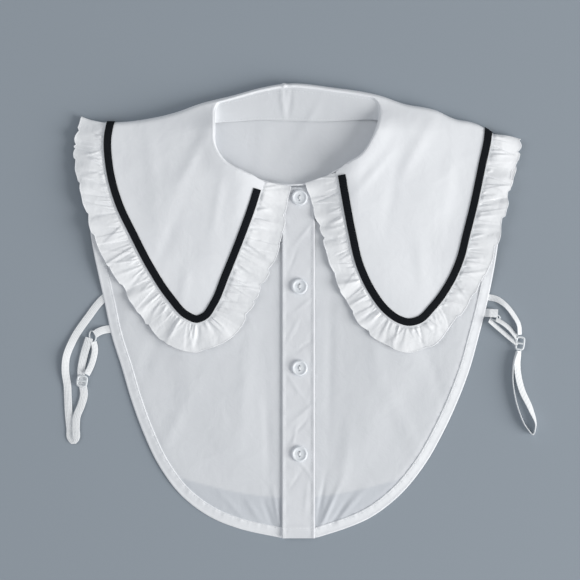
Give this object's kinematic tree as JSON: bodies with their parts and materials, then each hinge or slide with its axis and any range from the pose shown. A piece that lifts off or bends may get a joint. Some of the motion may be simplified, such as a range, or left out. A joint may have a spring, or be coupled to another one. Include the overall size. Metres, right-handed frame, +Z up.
{
  "type": "detachable collar",
  "caption": "Flat-laid detachable shirt collar with a buttoned dickey front, pointed ribbon-trimmed leaves, gathered ruffles and elastic side straps.",
  "frame": {"origin": "on the surface the collar lies on, under the middle of its whole outline", "axes": "+Z up from the surface, +Y towards the neck, +X to the right of somebody who looks down on it"},
  "size_m": [0.3795, 0.3632, 0.0133],
  "materials": {
    "poplin": "plain woven white cotton, slightly sheer",
    "ribbon": "ribbed black grosgrain",
    "button": "pearly, polished rim",
    "elastic": "flat braided white elastic",
    "fitting": "moulded white"
  },
  "bodies": {
    "root": {"back_panel": "poplin", "front_wearer_right": "poplin", "front_wearer_left": "poplin", "hem_wearer_right": "poplin", "hem_wearer_left": "poplin", "placket": "poplin", "button_1": "button", "button_2": "button", "button_3": "button", "button_4": "button", "stand": "poplin", "leaf_wearer_right": "poplin", "leaf_wearer_left": "poplin", "ribbon_wearer_right": "ribbon", "ribbon_wearer_left": "ribbon", "ruffle_wearer_right": "poplin", "ruffle_wearer_left": "poplin", "strap_left": "elastic", "strap_left_return": "elastic", "tab_left": "elastic", "ring_left": "fitting", "slider_left": "fitting", "strap_right": "elastic", "strap_right_loop": "elastic", "strap_right_return": "elastic", "strap_right_lower_return": "elastic", "tab_right": "elastic", "ring_right": "fitting", "slider_right": "fitting"}
  },
  "joints": []
}
